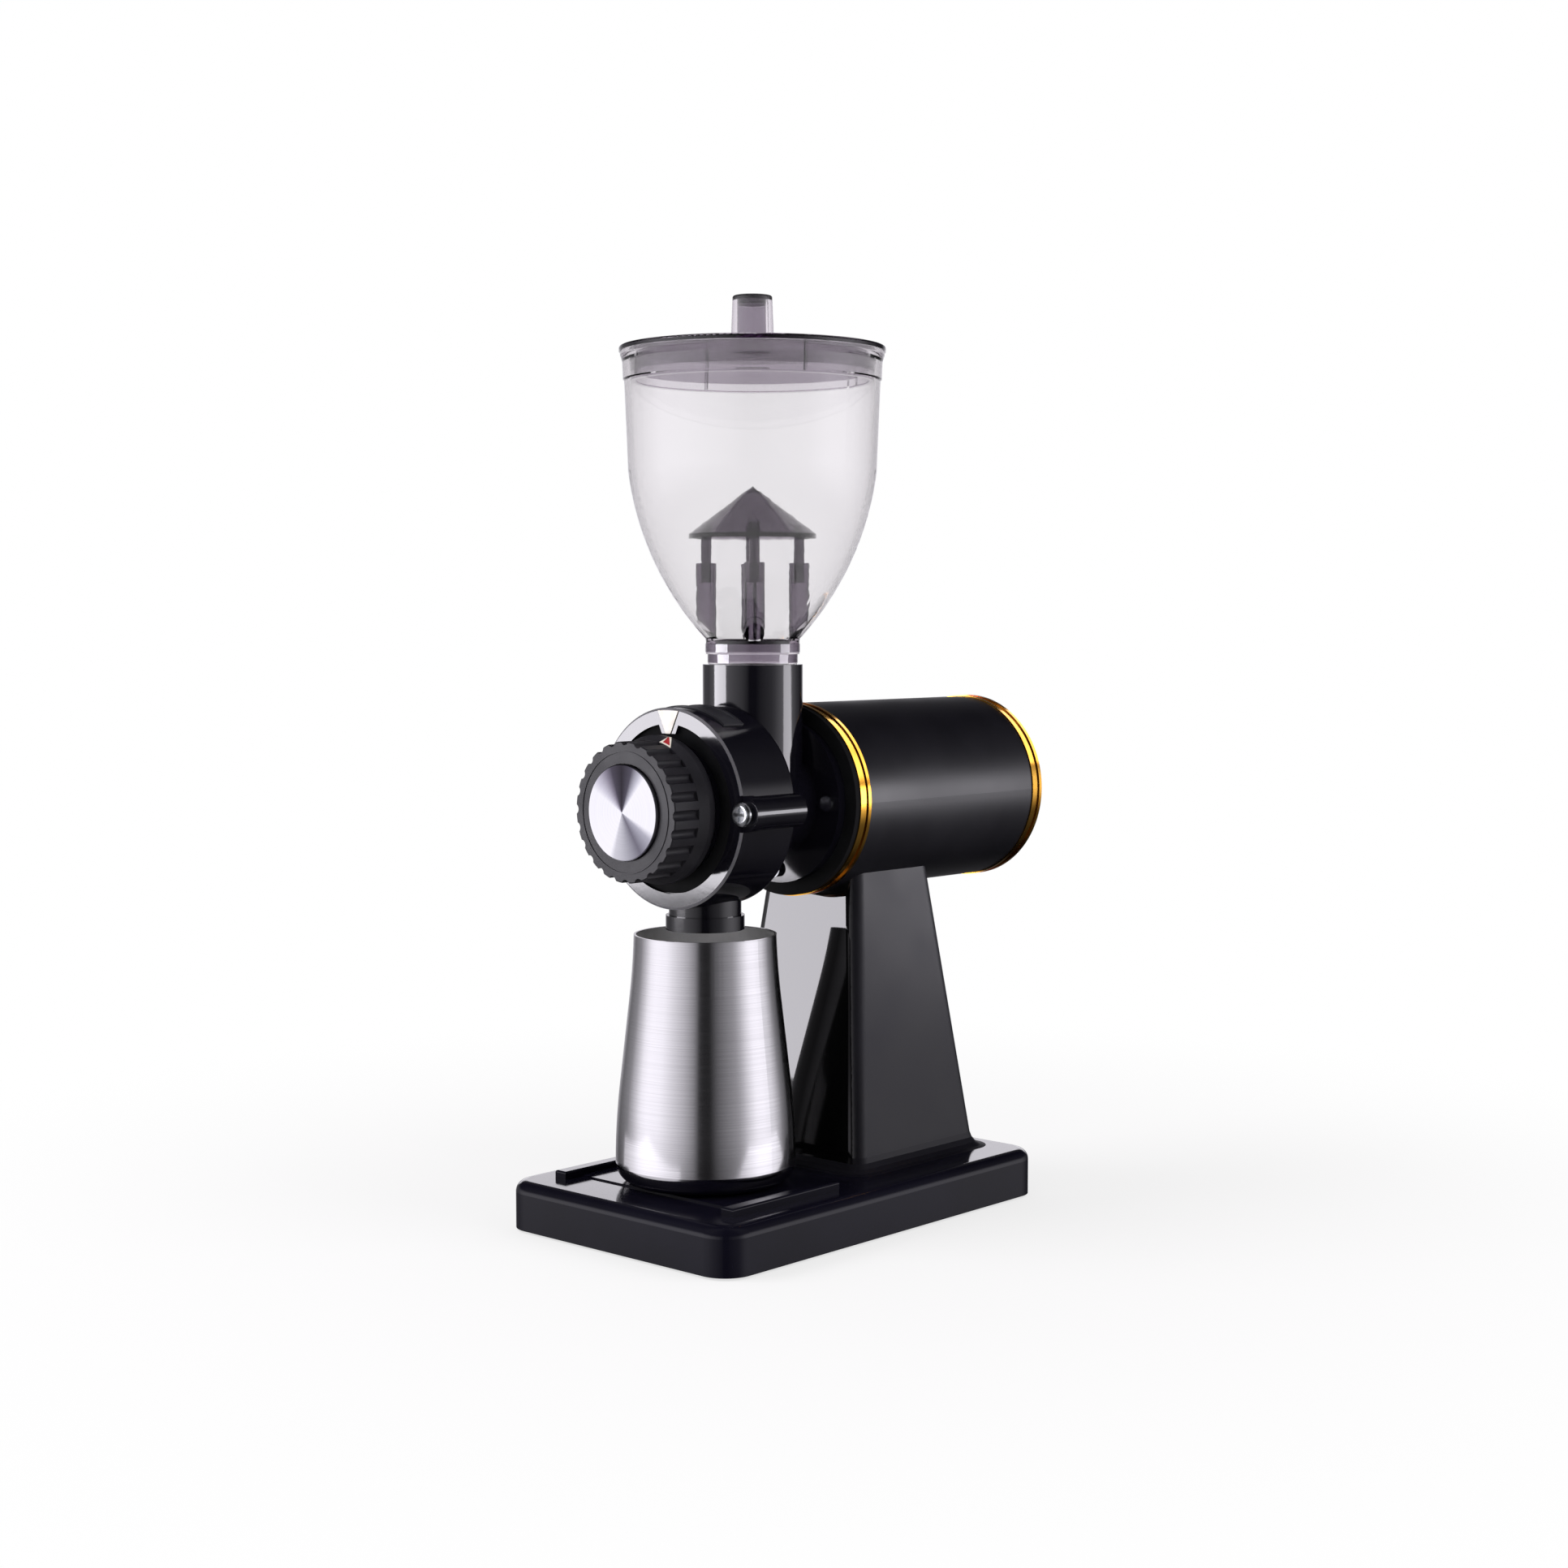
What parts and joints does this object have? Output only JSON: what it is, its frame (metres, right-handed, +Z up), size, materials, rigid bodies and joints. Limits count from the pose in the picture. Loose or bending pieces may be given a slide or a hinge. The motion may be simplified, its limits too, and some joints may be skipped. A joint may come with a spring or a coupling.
{
  "type": "burr coffee grinder",
  "caption": "Burr coffee grinder with a clear bean hopper and lid, a grind-setting knob, a gold-banded motor on a tapered column, and a steel grounds cup on a flat base.",
  "frame": {"origin": "on the table, under the middle of the whole grinder's length and width", "axes": "+Z up, the knob and cup face -Y, the motor runs back along +Y, +X to the right seen from the front"},
  "size_m": [0.1246, 0.2284, 0.375],
  "materials": {
    "base_black": "gloss black paint on a casting",
    "column_black": "smooth satin black paint",
    "casting_black": "gloss black enamel",
    "motor_black": "satin black paint",
    "gold": "polished gold plating",
    "smoky_clear": "clear smoky moulding",
    "smoky_dark": "dark clear moulding",
    "stainless": "satin stainless",
    "knob_black": "moulded black, fine texture",
    "spun_aluminium": "spun face",
    "cream": "cream enamel",
    "screw_steel": "bright zinc",
    "burr_steel": "ground tool steel",
    "machined_iron": "machined",
    "shaft_steel": "ground",
    "felt": "pressed felt",
    "ferrite": "sintered",
    "lamination": "stacked sheet",
    "copper": "enamelled wire",
    "carbon": "pressed carbon",
    "insulator": "moulded sheet",
    "brush_brass": "folded strip",
    "fan_plastic": "moulded",
    "rubber": "moulded",
    "plate_zinc": "grey sheet",
    "switch_black": "moulded",
    "board_green": "coated laminate"
  },
  "bodies": {
    "housing": {"base": "base_black", "base_plate": "plate_zinc", "feet": "rubber", "base_screws": "screw_steel", "power_board": "board_green", "cord_gland": "rubber", "column": "column_black", "column_screws": "screw_steel", "saddle_screws": "screw_steel", "switch_frame": "switch_black", "grinder_body": "casting_black", "body_screws": "screw_steel", "spout_ring": "casting_black", "cover": "casting_black", "pointer": "cream", "guide_pins": "shaft_steel", "cover_screws": "screw_steel", "shaft_seal": "felt", "front_bearing": "shaft_steel", "rear_bearing": "shaft_steel", "motor_flange": "casting_black", "front_ring": "gold", "rear_ring": "gold", "motor_tube": "motor_black", "rear_cap": "casting_black", "rear_screws": "screw_steel", "magnets": "ferrite", "brush_plate": "insulator", "brush_holders": "brush_brass", "brushes": "carbon"},
    "hopper": {"hopper": "smoky_clear", "bean_guard": "smoky_dark"},
    "lid": {"lid": "smoky_clear"},
    "cup": {"cup": "stainless"},
    "rocker": {"rocker": "switch_black"},
    "carrier": {"fixed_carrier": "machined_iron", "fixed_burr": "burr_steel", "fixed_screws": "screw_steel"},
    "knob": {"knob": "knob_black", "knob_insert": "spun_aluminium", "spindle": "shaft_steel", "spindle_clip": "shaft_steel"},
    "rotor": {"shaft": "shaft_steel", "auger": "machined_iron", "rotor_carrier": "machined_iron", "rotor_burr": "burr_steel", "rotor_screws": "screw_steel", "shaft_nut": "screw_steel", "armature_core": "lamination", "windings": "copper", "commutator": "copper", "fan": "fan_plastic"}
  },
  "joints": [
    {"name": "hopper_lift", "type": "slide", "parent": "housing", "child": "hopper", "axis": [0, 0, 1], "range_m": [0, 0.05]},
    {"name": "lid_lift", "type": "slide", "parent": "hopper", "child": "lid", "axis": [0, 0, 1], "range_m": [0, 0.06]},
    {"name": "cup_pull", "type": "slide", "parent": "housing", "child": "cup", "axis": [0, -1, 0], "range_m": [0, 0.12]},
    {"name": "burr_feed", "type": "slide", "parent": "housing", "child": "carrier", "axis": [0, 1, 0], "range_m": [-0.00063, 0.00063]},
    {"name": "knob_turn", "type": "hinge", "parent": "carrier", "child": "knob", "pos_m": [0, -0.09495, 0.1714], "axis": [0, 1, 0], "range_deg": [-150, 150]},
    {"name": "rotor_spin", "type": "hinge", "parent": "housing", "child": "rotor", "pos_m": [0, 0.02305, 0.1714], "axis": [0, 1, 0], "continuous": true},
    {"name": "switch_rock", "type": "hinge", "parent": "housing", "child": "rocker", "pos_m": [-0.02944, 0.0276, 0.09489], "axis": [0, -1, 0], "range_deg": [0, 16]}
  ],
  "couplings": [
    {"joint": "knob_turn", "follows": "burr_feed", "rad_per_m": 4188.8}
  ]
}
